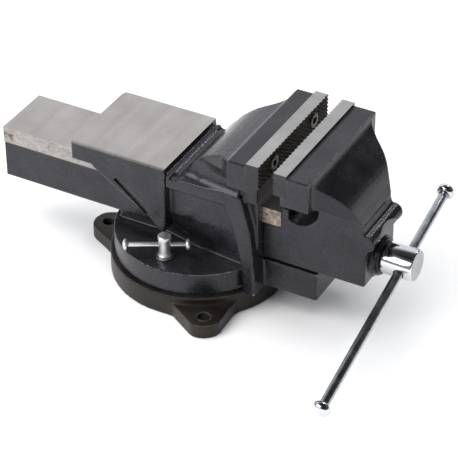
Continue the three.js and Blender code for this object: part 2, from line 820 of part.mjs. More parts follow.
place('swivel_base', swivelBase(), darkIron);
place('vise_body', viseBody(), paintedIron);
place('fixed_jaw_plate', jawPlate(fixedFace, 1, jawTop), hardSteel);
place('moving_jaw', movingJaw(), paintedIron);
place('moving_jaw_plate', jawPlate(movingFace, -1, movingTop), hardSteel);
place('lead_nut', leadNut(), darkIron);
place('nut_bolt', nutBolt(), blackSteel);
place('nut_bolt_washer', nutBoltWasher(), blackSteel);
place('lead_screw', leadScrew(), brightSteel);
place('thrust_washer', thrustWasher(), blackSteel);
place('retaining_spring', retainingSpring(), hardSteel);
place('retaining_collar', retainingCollar(), blackSteel);
place('collar_pin', collarPin(), hardSteel);
place('handle_bar', intoScrewHead(barOf(handleRadius, handleLength)), brightSteel);
for (const [name, end] of [['handle_knob_upper', 1], ['handle_knob_lower', -1]]) {
  const knob = knobOf(knobRadius, knobLength, handleRadius, handleLength, end);
  place(name, intoScrewHead(knob), brightSteel);
}
for (const [name, side] of [['left', -1], ['right', 1]]) {
  const fixedScrew = geometryOf(jawScrew()).rotateY(Math.PI / 2);
  const movingScrew = geometryOf(jawScrew()).rotateY(-Math.PI / 2);
  fixedScrew.translate(fixedFace, side * plateScrewSide, jawTop - plateHeight / 2);
  movingScrew.translate(movingFace, side * plateScrewSide, movingTop - plateHeight / 2);
  place(`fixed_jaw_screw_${name}`, fixedScrew, blackSteel);
  place(`moving_jaw_screw_${name}`, movingScrew, blackSteel);
  place(`lock_bolt_${name}`, lockBolt(side), brightSteel);
  place(`lock_washer_${name}`, lockWasher(side), brightSteel);
  place(`lock_nut_${name}`, lockNut(side), blackSteel);
  place(`lock_bar_${name}`, intoLockHead(barOf(lockBarRadius, lockBarLength), side), brightSteel);
  for (const [endName, end] of [['front', 1], ['rear', -1]]) {
    const knob = knobOf(lockKnobRadius, lockKnobLength, lockBarRadius, lockBarLength, end);
    place(`lock_knob_${name}_${endName}`, intoLockHead(knob, side), brightSteel);
  }
}

export default vise;
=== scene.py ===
import math
import bmesh
import bpy
from mathutils import Matrix, Vector, noise


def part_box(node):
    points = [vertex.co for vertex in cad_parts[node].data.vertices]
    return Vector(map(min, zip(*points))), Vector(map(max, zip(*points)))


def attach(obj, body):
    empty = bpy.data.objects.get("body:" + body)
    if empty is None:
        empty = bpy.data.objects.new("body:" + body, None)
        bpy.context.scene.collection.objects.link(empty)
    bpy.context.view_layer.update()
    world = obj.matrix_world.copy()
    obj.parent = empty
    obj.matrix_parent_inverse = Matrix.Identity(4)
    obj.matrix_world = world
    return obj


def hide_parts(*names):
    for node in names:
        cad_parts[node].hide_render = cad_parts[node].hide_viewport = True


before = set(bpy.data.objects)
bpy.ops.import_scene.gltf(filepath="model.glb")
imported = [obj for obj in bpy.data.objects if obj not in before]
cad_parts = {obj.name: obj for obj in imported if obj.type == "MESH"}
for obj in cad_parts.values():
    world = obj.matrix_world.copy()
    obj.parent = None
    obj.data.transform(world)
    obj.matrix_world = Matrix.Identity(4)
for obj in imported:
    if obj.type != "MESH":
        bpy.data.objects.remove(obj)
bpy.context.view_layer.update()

# Everything below is worked in millimetres and scaled once, when a piece becomes an object
mm = 0.001
fullTurn = 2 * math.pi
scene = bpy.context.scene


def boxOf(node):
    low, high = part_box(node)
    return low / mm, high / mm


def centreOf(node):
    low, high = boxOf(node)
    return (low + high) / 2


# ---------- shader helpers

class Wire:
    def __init__(self, tree, socket):
        self.tree = tree
        self.socket = socket

    def node(self, kind, settings=None, inputs=None, output=0):
        made = self.tree.nodes.new(kind)
        settings = dict(settings or {})
        stops = settings.pop("stops", None)
        for key, value in settings.items():
            setattr(made, key, value)
        if stops:
            ramp = made.color_ramp
            while len(ramp.elements) < len(stops):
                ramp.elements.new(0.5)
            for element, (place, colour) in zip(ramp.elements, stops):
                element.position = place
                element.color = colour if len(colour) == 4 else (*colour, 1)
        for key, value in (inputs or {}).items():
            if isinstance(value, Wire):
                self.tree.links.new(value.socket, made.inputs[key])
            else:
                made.inputs[key].default_value = value
        return Wire(self.tree, made.outputs[output])

    def sum(self, operation, first, second):
        return self.node("ShaderNodeMath", {"operation": operation}, {0: first, 1: second})

    def __add__(self, other):
        return self.sum("ADD", self, other)

    def __radd__(self, other):
        return self.sum("ADD", other, self)

    def __sub__(self, other):
        return self.sum("SUBTRACT", self, other)

    def __rsub__(self, other):
        return self.sum("SUBTRACT", other, self)

    def __mul__(self, other):
        return self.sum("MULTIPLY", self, other)

    def __rmul__(self, other):
        return self.sum("MULTIPLY", other, self)

    def grain(self, scale, detail=4, roughness=0.55, stretch=(1, 1, 1)):
        placed = self.node("ShaderNodeMapping", None, {"Vector": self, "Scale": stretch})
        return placed.node("ShaderNodeTexNoise", None, {
            "Vector": placed, "Scale": scale, "Detail": detail, "Roughness": roughness})

    def between(self, low, high, fromLow=0.0, fromHigh=1.0):
        return self.node("ShaderNodeMapRange", {"clamp": True}, {
            0: self, 1: fromLow, 2: fromHigh, 3: low, 4: high})

    def tint(self, first, second):
        def full(colour):
            return colour if isinstance(colour, Wire) else (*colour, 1)
        return self.node("ShaderNodeMix", {"data_type": "RGBA"}, {
            0: self, 6: full(first), 7: full(second)}, 2)


def newMaterial(name, fixed):
    material = bpy.data.materials.new(name)
    material.use_nodes = True
    tree = material.node_tree
    surface = tree.nodes["Principled BSDF"]
    for key, value in fixed.items():
        surface.inputs[key].default_value = value
    coords = tree.nodes.new("ShaderNodeTexCoord")
    return material, surface, Wire(tree, coords.outputs["Object"])


def drive(surface, **wires):
    names = {"colour": "Base Color", "roughness": "Roughness", "metallic": "Metallic",
             "coat": "Coat Weight", "normal": "Normal"}
    for key, wire in wires.items():
        wire.tree.links.new(wire.socket, surface.inputs[names[key]])


def bump(height, strength, distance):
    return height.node("ShaderNodeBump", None, {
        "Strength": strength, "Distance": distance, "Height": height})


# ---------- materials

paintFinish = {
    "black": (0.0045, 0.0043, 0.0058),
    "grey": (0.027, 0.0255, 0.030),
    "paleEdge": (0.26, 0.25, 0.25),
    "roughness": (0.13, 0.30),
    "pebble": 0.0004,
    "wave": 0.00025,
}


def paintedIron():
    f = paintFinish
    material, surface, coords = newMaterial("paintedIron", {
        "Metallic": 0.0, "IOR": 1.5, "Specular IOR Level": 0.42, "Specular Tint": (0.93, 0.91, 1.0, 1.0)})
    blotch = coords.grain(26, 5)
    sand = coords.grain(850, 3, 0.6)
    pebbles = coords.grain(330, 2, 0.5)
    wave = coords.grain(55, 2, 0.5)
    edge = coords.node("ShaderNodeAttribute", {"attribute_name": "edge"}, None, 2)
    edgeNoise = coords.grain(120, 6, 0.7)
    colour = (blotch * 0.45 + sand * 0.55).between(0, 1, 0.40, 0.66).tint(f["black"], f["grey"])
    height = coords.node("ShaderNodeSeparateXYZ", None, {0: coords}, 2)
    # Paler outside edges, strongest on the low parts near the plate rim and shelf: partly worn paint, partly painted
    # glints where rounded edges catch the light
    paleEdgeMask = (edge + edgeNoise * 0.9).between(0, 0.85, 0.93, 1.13) * height.between(1, 0.22, 0.060, 0.072)
    colour = paleEdgeMask.tint(colour, f["paleEdge"])
    rough = (blotch * 0.4 + sand * 0.6).between(f["roughness"][0], f["roughness"][1], 0.35, 0.65)
    soft = bump(wave, 1.0, f["wave"])
    relief = pebbles * 0.5 + sand * 0.5
    fine = relief.node("ShaderNodeBump", None, {
        "Strength": 0.7, "Distance": f["pebble"], "Height": relief, "Normal": soft})
    drive(surface, colour=colour, roughness=rough, normal=fine)
    return material


baseFinish = {
    "dark": (0.0055, 0.0048, 0.0046),
    "brown": (0.024, 0.0195, 0.016),
    "paleEdge": (0.13, 0.11, 0.095),
}


def baseIron():
    f = baseFinish
    material, surface, coords = newMaterial("baseIron", {
        "Metallic": 0.0, "IOR": 1.5, "Specular IOR Level": 0.3, "Specular Tint": (1.0, 0.93, 0.87, 1.0)})
    blotch = coords.grain(24, 6)
    sand = coords.grain(700, 3, 0.65)
    edge = coords.node("ShaderNodeAttribute", {"attribute_name": "edge"}, None, 2)
    edgeNoise = coords.grain(160, 6, 0.7)
    colour = blotch.between(0, 1, 0.38, 0.75).tint(f["dark"], f["brown"])
    paleEdgeMask = (edge + edgeNoise * 0.9).between(0, 0.7, 0.95, 1.15)
    colour = paleEdgeMask.tint(colour, f["paleEdge"])
    rough = (blotch + sand).between(0.3, 0.5, 0.7, 1.3)
    drive(surface, colour=colour, roughness=rough, normal=bump(sand, 0.6, 0.0003))
    return material


groundFinish = {
    # The anvil pair is lifted far past bare iron, up to white: painted sheen for light off the ground top; the mottling
    # between the two is the metal's own
    "anvilSheenLight": (1.0, 0.965, 0.945),
    "anvilSheenDull": (0.70, 0.655, 0.635),
    "jawLight": (0.46, 0.45, 0.44),
    "jawDull": (0.35, 0.34, 0.33),
    "pit": (0.16, 0.13, 0.11),
}


def groundIron(name, lines, light, dull, roughness=(0.30, 0.46)):
    material, surface, coords = newMaterial(name, {"Metallic": 0.9})
    cloud = coords.grain(21, 5, 0.6)
    band = coords.grain(34, 2, 0.5, (lines[0] * 0.12, lines[1] * 0.12, 1))
    speck = coords.grain(300, 4, 0.65)
    score = coords.grain(170, 3, 0.6, lines)
    edge = coords.node("ShaderNodeAttribute", {"attribute_name": "edge"}, None, 2)
    mix = (cloud * 0.4 + band * 0.3 + score * 0.22 + speck * 0.08).between(0, 1, 0.40, 0.60)
    pits = speck.between(0, 0.5, 0.68, 0.8)
    colour = pits.tint(mix.tint(dull, light), groundFinish["pit"])
    nick = (edge + speck * 0.7).between(0, 0.55, 0.9, 1.2)
    colour = nick.tint(colour, groundFinish["pit"])
    rough = (score * 0.6 + cloud * 0.4).between(roughness[0], roughness[1], 0.35, 0.65)
    drive(surface, colour=colour, roughness=rough, normal=bump(score, 0.14, 0.0001))
    return material


def railSteel():
    material, surface, coords = newMaterial("railSteel", {"Metallic": 0.75})
    split = coords.node("ShaderNodeSeparateXYZ", None, {0: coords})
    rust = coords.grain(75, 6, 0.7)
    speck = coords.grain(330, 4, 0.7)
    score = coords.grain(120, 3, 0.6, (1, 1, 14))
    clean = (score * 0.6 + speck * 0.4).between(0, 1, 0.35, 0.65)
    steel = clean.tint((0.20, 0.18, 0.165), (0.46, 0.435, 0.415))
    brown = (speck * 0.5 + rust * 0.5).between(0, 1, 0.42, 0.58).tint((0.10, 0.05, 0.033), (0.56, 0.45, 0.36))
    front = split.between(0, 1, 0.080, 0.1)
    colour = (front * rust.between(0.5, 1, 0.35, 0.6)).tint(steel, brown)
    grime = rust.between(0, 0.85, 0.58, 0.66)
    colour = grime.tint(colour, (0.06, 0.045, 0.036))
    rough = (rust + front * 0.4).between(0.32, 0.62, 0.4, 1.2)
    drive(surface, colour=colour, roughness=rough, normal=bump(speck, 0.3, 0.0002))
    return material


def toothSteel():
    material, surface, coords = newMaterial("toothSteel", {"Metallic": 0.6})
    cloud = coords.grain(60, 5)
    speck = coords.grain(420, 3)
    colour = (cloud * 0.6 + speck * 0.4).between(0, 1, 0.35, 0.65).tint(
        (0.006, 0.0045, 0.004), (0.12, 0.085, 0.065))
    rough = cloud.between(0.3, 0.5, 0.3, 0.7)
    drive(surface, colour=colour, roughness=rough, normal=bump(speck, 0.3, 0.0002))
    return material


def brightMetal(name, colourPair, roughPair, smudge, metallic=1.0):
    material, surface, coords = newMaterial(name, {"Metallic": metallic})
    cloud = coords.grain(smudge, 5, 0.6)
    fine = coords.grain(900, 2)
    colour = cloud.between(0, 1, 0.35, 0.65).tint(*colourPair)
    rough = (cloud * 0.7 + fine * 0.3).between(roughPair[0], roughPair[1], 0.35, 0.65)
    drive(surface, colour=colour, roughness=rough, normal=bump(fine, 0.04, 0.00003))
    return material


def darkBore():
    material, surface, coords = newMaterial("castBore", {"Metallic": 0.2})
    speck = coords.grain(300, 4)
    colour = speck.between(0, 1, 0.35, 0.65).tint((0.012, 0.011, 0.010), (0.045, 0.040, 0.036))
    drive(surface, colour=colour, roughness=speck.between(0.45, 0.7), normal=bump(speck, 0.4, 0.0002))
    return material


g = groundFinish
paint = paintedIron()
cast = baseIron()
# Anvil and slide tops: ground iron with the lifted anvil pair, so their colour carries painted sheen
groundTop = groundIron("groundIron", (14, 1.2, 1), g["anvilSheenLight"], g["anvilSheenDull"])
plateTop = groundIron("plateGround", (1.2, 14, 1), g["jawLight"], g["jawDull"], (0.28, 0.4))
rail = railSteel()
teeth = toothSteel()
bore = darkBore()
chrome = brightMetal("chromePlate", ((0.62, 0.63, 0.65), (0.76, 0.77, 0.79)), (0.07, 0.16), 45)
faceSteel = brightMetal("turnedFace", ((0.33, 0.33, 0.34), (0.48, 0.48, 0.49)), (0.28, 0.42), 240)
barSteel = brightMetal("barSteel", ((0.37, 0.385, 0.41), (0.52, 0.535, 0.56)), (0.22, 0.34), 60)
zinc = brightMetal("zincPlate", ((0.60, 0.60, 0.61), (0.78, 0.78, 0.79)), (0.26, 0.40), 80, 0.9)
brass = brightMetal("passivatedZinc", ((0.40, 0.37, 0.29), (0.58, 0.56, 0.46)), (0.18, 0.3), 80)
oxide = brightMetal("blackOxide", ((0.01, 0.01, 0.011), (0.035, 0.033, 0.031)), (0.35, 0.5), 90, 0.5)
print("materials made")


# ---------- mesh helpers

def prism(bm, corners, low, high, along, material=0):
    place = {"X": lambda u, v, w: (w, u, v), "Y": lambda u, v, w: (u, w, v),
             "Z": lambda u, v, w: (u, v, w)}[along]
    face = bm.faces.new([bm.verts.new(place(u, v, low)) for u, v in corners])
    face.material_index = material
    pushed = bmesh.ops.extrude_face_region(bm, geom=[face], use_keep_orig=True)
    top = [g for g in pushed["geom"] if isinstance(g, bmesh.types.BMVert)]
    bmesh.ops.translate(bm, verts=top, vec=place(0, 0, high - low))
    for vert in top:
        for linked in vert.link_faces:
            linked.material_index = material


def mirrored(bm, corners, low, high, along, material=0):
    prism(bm, corners, low, high, along, material)
    prism(bm, corners, -high, -low, along, material)


def block(bm, x, y, z, material=0):
    size = Vector((x[1] - x[0], y[1] - y[0], z[1] - z[0]))
    middle = Vector((x[0] + x[1], y[0] + y[1], z[0] + z[1])) / 2
    cube = bmesh.ops.create_cube(bm, size=1, matrix=Matrix.Translation(middle) @ Matrix.Diagonal((*size, 1)))
    for vert in cube["verts"]:
        for linked in vert.link_faces:
            linked.material_index = material


def loft(bm, levels):
    rings = []
    for corners in levels:
        verts = [bm.verts.new(c) for c in corners]
        rings.append([bm.edges.new((a, b)) for a, b in zip(verts, verts[1:] + verts[:1])])
    for lower, upper in zip(rings, rings[1:]):
        bmesh.ops.bridge_loops(bm, edges=lower + upper)
    for ring in (rings[0], rings[-1]):
        bmesh.ops.contextual_create(bm, geom=ring)


def addTo(target, part, place=None, material=0):
    bmesh.ops.remove_doubles(part, verts=part.verts, dist=1e-4)
    bmesh.ops.recalc_face_normals(part, faces=part.faces)
    if place is not None:
        part.transform(place)
    if material:
        for face in part.faces:
            face.material_index = material
    held = bpy.data.meshes.new("held")
    part.to_mesh(held)
    part.free()
    target.from_mesh(held)
    bpy.data.meshes.remove(held)


def turned(profile, steps=64, closed=False):
    bm = bmesh.new()
    verts = [bm.verts.new((r, 0, h)) for r, h in profile]
    edges = [bm.edges.new(pair) for pair in zip(verts, verts[1:])]
    if closed:
        edges.append(bm.edges.new((verts[-1], verts[0])))
    bmesh.ops.spin(bm, geom=verts + edges, axis=(0, 0, 1), cent=(0, 0, 0), angle=fullTurn,
                   steps=steps, use_merge=True)
    bmesh.ops.remove_doubles(bm, verts=bm.verts, dist=1e-4)
    bmesh.ops.recalc_face_normals(bm, faces=bm.faces)
    return bm


def soften(bm, radius, segments=3, sharp=32):
    limit = math.radians(sharp)
    edges = [e for e in bm.edges if e.is_manifold and e.calc_face_angle(0) > limit]
    bmesh.ops.bevel(bm, geom=edges, offset=radius, offset_type="OFFSET", segments=segments,
                    profile=0.5, affect="EDGES", material=-1, clamp_overlap=True)


def shapeOf(name, bm, materials, sharp=35):
    bmesh.ops.scale(bm, vec=(mm, mm, mm), verts=bm.verts)
    mesh = bpy.data.meshes.new(name)
    bm.to_mesh(mesh)
    bm.free()
    for material in materials:
        mesh.materials.append(material)
    made = bpy.data.objects.new(name, mesh)
    scene.collection.objects.link(made)
    shade(mesh, sharp)
    return made


def shade(mesh, sharp):
    mesh.polygons.foreach_set("use_smooth", [True] * len(mesh.polygons))
    mesh.set_sharp_from_angle(angle=math.radians(sharp))


def fit(made, node, body):
    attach(made, body)
    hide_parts(node)
    return made


# Sand casting: shells run together, corners round off, then the machined cuts are made
def casting(name, shells, passes, materials, voxel, rounding, kept=0.5, sharp=32):
    bmesh.ops.recalc_face_normals(shells, faces=shells.faces)
    rough = shapeOf(name, shells, materials)
    remesh = rough.modifiers.new("skin", "REMESH")
    remesh.mode = "VOXEL"
    remesh.voxel_size = voxel * mm
    smooth = rough.modifiers.new("round", "SMOOTH")
    smooth.factor = 0.5
    smooth.iterations = rounding
    thin = rough.modifiers.new("thin", "DECIMATE")
    thin.ratio = kept
    cutters = []
    for cuts in passes:
        bmesh.ops.recalc_face_normals(cuts, faces=cuts.faces)
        cutters.append(shapeOf(name + "Cuts", cuts, materials))
        machined = rough.modifiers.new("machine", "BOOLEAN")
        machined.operation = "DIFFERENCE"
        machined.solver = "MANIFOLD"
        machined.material_mode = "TRANSFER"
        machined.object = cutters[-1]
    depsgraph = bpy.context.evaluated_depsgraph_get()
    done = bpy.data.meshes.new_from_object(rough.evaluated_get(depsgraph))
    rough.modifiers.clear()
    rough.data = done
    for cutter in cutters:
        bpy.data.objects.remove(cutter)
    markEdges(done)
    shade(done, sharp)
    print(name, sum(len(p.vertices) - 2 for p in done.polygons), "triangles")
    return rough


# How far each point stands out as an outside corner, for pale edges (worn paint and painted glints) and nicks
def markEdges(mesh):
    bm = bmesh.new()
    bm.from_mesh(mesh)
    layer = bm.verts.layers.float.new("edge")
    for vert in bm.verts:
        bends = [e.calc_face_angle_signed(0) for e in vert.link_edges if e.is_manifold]
        vert[layer] = max(0.0, min(1.0, 1.6 * sum(bends) / max(1, len(bends))))
    bm.to_mesh(mesh)
    bm.free()


# ---------- swivel base

baseSizes = {
    "radius": 94.5, "height": 25, "lugHeight": 16, "lugRoot": 91, "lugTip": 128.7,
    "rootHalf": 31.5, "tipHalf": 13.6, "holeCircle": 112.5, "holeRadius": 6.5, "lugTurns": (180, -59, 59),
    "slotIn": 60, "slotOut": 76.1, "cavityIn": 52.1, "cavityOut": 84.1, "slotFloor": 6, "slotRoof": 17,
    "entryRadius": 16.6, "entryTurns": (120, -120), "pivotRadius": 18.3, "pivotFloor": 10.3,
}


def makeBase():
    s = baseSizes
    shells = bmesh.new()
    addTo(shells, turned([(0, 0), (s["radius"], 0), (s["radius"], s["height"]), (0, s["height"])], 128))
    for degrees in s["lugTurns"]:
        part = bmesh.new()
        corners = [(40, -50), (s["lugRoot"] - 10, -46), (s["lugRoot"] - 4, -37), (s["lugRoot"], -s["rootHalf"]),
                   (s["lugTip"] - 11.5, -17.6), (s["lugTip"] - 8, -15.9), (s["lugTip"] - 4.6, -13.2),
                   (s["lugTip"] - 2.2, -9.8), (s["lugTip"] - 0.6, -5.6), (s["lugTip"], -1.5)]
        corners += [(u, -v) for u, v in reversed(corners)]
        prism(part, corners, 0, s["lugHeight"], "Z")
        addTo(shells, part, Matrix.Rotation(math.radians(degrees), 4, "Z"))
    cuts = bmesh.new()
    entries = bmesh.new()
    slot = [(s["cavityIn"], s["slotFloor"]), (s["cavityOut"], s["slotFloor"]), (s["cavityOut"], s["slotRoof"]),
            (s["slotOut"], s["slotRoof"]), (s["slotOut"], s["height"] + 2), (s["slotIn"], s["height"] + 2),
            (s["slotIn"], s["slotRoof"]), (s["cavityIn"], s["slotRoof"])]
    addTo(cuts, turned(slot, 96, closed=True), material=1)
    pivot = [(0, s["pivotFloor"]), (s["pivotRadius"], s["pivotFloor"]), (s["pivotRadius"], s["height"] + 2),
             (0, s["height"] + 2)]
    addTo(cuts, turned(pivot, 48), material=1)
    middle = (s["slotIn"] + s["slotOut"]) / 2
    for degrees in s["entryTurns"]:
        spot = Matrix.Rotation(math.radians(degrees), 4, "Z") @ Matrix.Translation((middle, 0, 0))
        addTo(entries, turned([(0, -2), (s["entryRadius"], -2), (s["entryRadius"], 7), (0, 7)], 40), spot, 1)
    for degrees in s["lugTurns"]:
        spot = Matrix.Rotation(math.radians(degrees), 4, "Z") @ Matrix.Translation((s["holeCircle"], 0, 0))
        hole = [(0, -2), (s["holeRadius"] + 0.6, -2), (s["holeRadius"], 0.8), (s["holeRadius"], s["lugHeight"] - 1),
                (s["holeRadius"] + 1.4, s["lugHeight"] + 1), (0, s["lugHeight"] + 1)]
        addTo(cuts, turned(hole, 40), spot, 1)
    base = casting("swivelBaseCasting", shells, [cuts, entries], [cast, bore], 1.2, 5, 0.5)
    return fit(base, "swivel_base", "base")


makeBase()


# ---------- body casting

bodySizes = {
    "plateRadius": 90, "plateLow": 25.3, "plateTop": 51.3, "pivotRadius": 18, "pivotLow": 11.3,
    "coreHalf": 44.3, "sideHalf": 54.9, "flangeLow": 127, "flangeTop": 141.5, "front": 93,
    "anvilFront": -9.7, "anvilRear": -119.8, "anvilLow": 127.5, "anvilTop": 148.2,
    "channelHalf": 35.4, "channelLow": 62.7, "channelTop": 125.3, "shelfEnd": 153, "shelfHalf": 33.6,
    "blockRear": 73, "blockLow": 168.2, "blockTop": 197.8, "seat": 94, "ledgeTop": 175.2,
    "face": 109.3, "jawHalf": 75, "screwSide": 43,
    "ramp": [(4.5, 141, 41), (9, 145.5, 41), (13, 152, 41.5), (17, 158, 42), (21, 162, 42.3), (25, 166.5, 43),
             (28.6, 170, 44.9), (32.6, 173, 46.6), (36.8, 176, 48.2), (41.9, 179, 50), (47.9, 182, 51.8),
             (55.6, 185.2, 54.2), (60, 186.8, 57), (64, 188.2, 60), (67.5, 189.8, 64), (70, 191.8, 67),
             (71.8, 194.2, 69.5), (73, 196.8, 71.5), (75, 197.2, 73)],
}


# One section of the ramp: a wide concave foot on the flange, an upright side and the sloping top
def rampSection(x, top, half):
    s = bodySizes
    lowHalf = min(half, 41 + (x - 4) * 0.13)
    side = [(s["sideHalf"] - 0.2, 136), (s["sideHalf"] - 0.2, s["flangeTop"]), (lowHalf + 7, 142.5),
            (lowHalf + 4, 145.4), (lowHalf + 1.9, 149.8), (lowHalf + 0.5, 155.5), ((lowHalf + half) / 2, 163),
            (half, 170), (half, 400)]
    near = [(x, -y, min(z, top)) for y, z in side]
    return near + [(x, -y, z) for x, y, z in reversed(near)]


def makeBody():
    s = bodySizes
    shells = bmesh.new()
    disc = [(0, s["plateLow"]), (s["plateRadius"], s["plateLow"]), (s["plateRadius"], s["plateTop"]),
            (0, s["plateTop"])]
    addTo(shells, turned(disc, 128))
    addTo(shells, turned([(0, s["pivotLow"]), (s["pivotRadius"], s["pivotLow"]), (s["pivotRadius"], 30), (0, 30)], 64))
    block(shells, (-80, 91), (-28.4, 28.4), (49, 67))
    half = s["coreHalf"]
    wall = bmesh.new()
    loft(wall, [[(x, foot, 49), (x, foot + 1, 62), (x, half, 90), (x, half, 140), (x, -half, 140),
                 (x, -half, 90), (x, -foot - 1, 62), (x, -foot, 49)]
                for x, foot in ((-21, 28), (13, 35.5), (41, 38.7), (70, 41.7), (s["front"] - 1, 43.5))])
    addTo(shells, wall)
    column = [(59, 122), (60, s["flangeTop"]), (77, s["flangeTop"]), (83, 120), (88, 101.5), (91, 75), (93, 43),
              (93.2, s["plateLow"]), (80, s["plateLow"]), (79, 45), (76, 66), (70, 92), (65, 112)]
    prism(shells, column, -s["sideHalf"], s["sideHalf"], "Y")
    block(shells, (-12, 72), (-s["sideHalf"], s["sideHalf"]), (s["flangeLow"], 138))
    block(shells, (s["anvilFront"] - 2, -3.4), (-s["sideHalf"], s["sideHalf"]), (130, s["flangeTop"]))
    web = [(s["anvilRear"] + 25, 129), (s["anvilRear"] + 25, 124.9), (-27.7, 82), (-20, 72), (-14, 66),
           (s["anvilFront"], 76), (s["anvilFront"], 129)]
    prism(shells, web, -s["sideHalf"], s["sideHalf"], "Y")
    anvil = [(s["anvilRear"], -s["sideHalf"]), (s["anvilFront"], -s["sideHalf"]),
             (s["anvilFront"], s["sideHalf"]), (s["anvilRear"] + 6, s["sideHalf"]),
             (s["anvilRear"] + 1.8, s["sideHalf"] - 1.8), (s["anvilRear"], s["sideHalf"] - 6)]
    prism(shells, anvil, s["anvilLow"], s["anvilTop"] + 5, "Z")
    ramp = bmesh.new()
    loft(ramp, [rampSection(*station) for station in s["ramp"]])
    addTo(shells, ramp)
    block(shells, (72, s["front"]), (-49, 49), (134, 170))
    under = [(-49, 150), (49, 150), (51, 156), (56, 163), (62, 170), (-62, 170), (-56, 163), (-51, 156)]
    prism(shells, under, s["blockRear"] + 1, s["front"] - 2, "X")
    jaw = [(s["blockRear"], s["blockLow"]), (s["face"] - 6.8, s["blockLow"]), (s["face"] - 0.3, s["ledgeTop"]),
           (s["face"] - 0.3, s["ledgeTop"] + 4), (s["seat"] + 4, s["ledgeTop"] + 4), (s["seat"] + 4, s["blockTop"]),
           (s["blockRear"], s["blockTop"])]
    prism(shells, jaw, -s["jawHalf"], s["jawHalf"], "Y")
    block(shells, (s["front"] - 4, s["shelfEnd"]), (-s["shelfHalf"], s["shelfHalf"]), (27, 59.5))

    cuts = bmesh.new()
    holes = bmesh.new()
    edge = s["sideHalf"] - 1.9
    grind = [(-edge, s["anvilTop"]), (-edge - 9, s["anvilTop"] - 4), (-edge - 9, s["anvilTop"] + 12),
             (edge + 9, s["anvilTop"] + 12), (edge + 9, s["anvilTop"] - 4), (edge, s["anvilTop"])]
    prism(cuts, grind, s["anvilRear"] - 4, s["anvilFront"] + 4, "X", 1)
    block(cuts, (s["anvilRear"] - 6, s["front"] + 4), (-s["channelHalf"], s["channelHalf"]),
          (s["channelLow"], s["channelTop"]), 2)
    block(cuts, (s["seat"], s["face"] + 4), (-80, 80), (s["ledgeTop"], 205), 2)
    groove = [(-70.5, 117.2), (-66, 121.8), (-26.6, 92), (-32.4, 85.6)]
    mirrored(cuts, groove, 52.6, 60, "Y")
    mirrored(cuts, [(s["anvilFront"], 125), (-7.3, 125), (-7.3, 143), (s["anvilFront"], 143)], 50.4, 60, "Y")
    for side in (-1, 1):
        spot = Matrix.Translation(Vector((centreOf("lock_bolt_left").x, side * 68.04, 0)))
        addTo(holes, turned([(0, 20), (5.4, 20), (5.4, 60), (0, 60)], 32), spot, 2)
        screwHole = Matrix.Translation((80, side * s["screwSide"], 188.15)) @ Matrix.Rotation(math.pi / 2, 4, "Y")
        addTo(holes, turned([(0, 0), (4.3, 0), (4.3, 20), (0, 20)], 24), screwHole, 2)
    nutSpot = Matrix.Translation((centreOf("nut_bolt").x, 0, 0))
    well = [(0, 20), (12.8, 20), (12.8, 36.2), (6.3, 36.2), (6.3, 44.7), (13.3, 44.7), (13.3, 70), (0, 70)]
    addTo(holes, turned(well, 40), nutSpot, 2)
    body = casting("bodyCasting", shells, [cuts, holes], [paint, groundTop, bore], 1.1, 6, 0.45)
    return fit(body, "vise_body", "fixed")


makeBody()


# ---------- moving jaw casting

jawSizes = {
    "slideRear": -216.8, "slideHalf": 33.6, "railHalf": 35.1, "slideLow": 63, "slideTop": 125, "railLow": 107,
    "railEnd": 112.3, "hollowHalf": 22, "hollowTop": 112, "headFront": 205.6, "wallRear": 190.6,
    "seat": 138.4, "blockFront": 162, "blockLow": 163.8, "blockTop": 196.8, "ledgeTop": 174.2,
    "ledge": 131.6, "jawHalf": 75, "bossRadius": 21, "bossEnd": 210.1, "screwAxis": 83, "boreRadius": 14.3,
    "screwSide": 43, "screwHeight": 187.15, "scoopX": 131, "scoopZ": 137, "scoopRadius": 22,
    "shell": [(158, 67.5, 194.5, 163.8), (161.8, 67, 193, 163), (164.2, 63, 188, 161.2), (168, 59.4, 184, 158.8),
              (172.5, 56, 180.3, 156), (178.8, 52.2, 175.3, 152.3), (184.6, 48.7, 169.9, 148.8),
              (188.4, 45.9, 165, 146.4), (191.3, 43.1, 160, 144.6), (193.6, 40.8, 155, 143.2),
              (195.6, 38.7, 150, 142), (197.4, 37, 145, 140.3), (199, 35.3, 141, 137.5), (201, 33.8, 135.5, 134)],
}


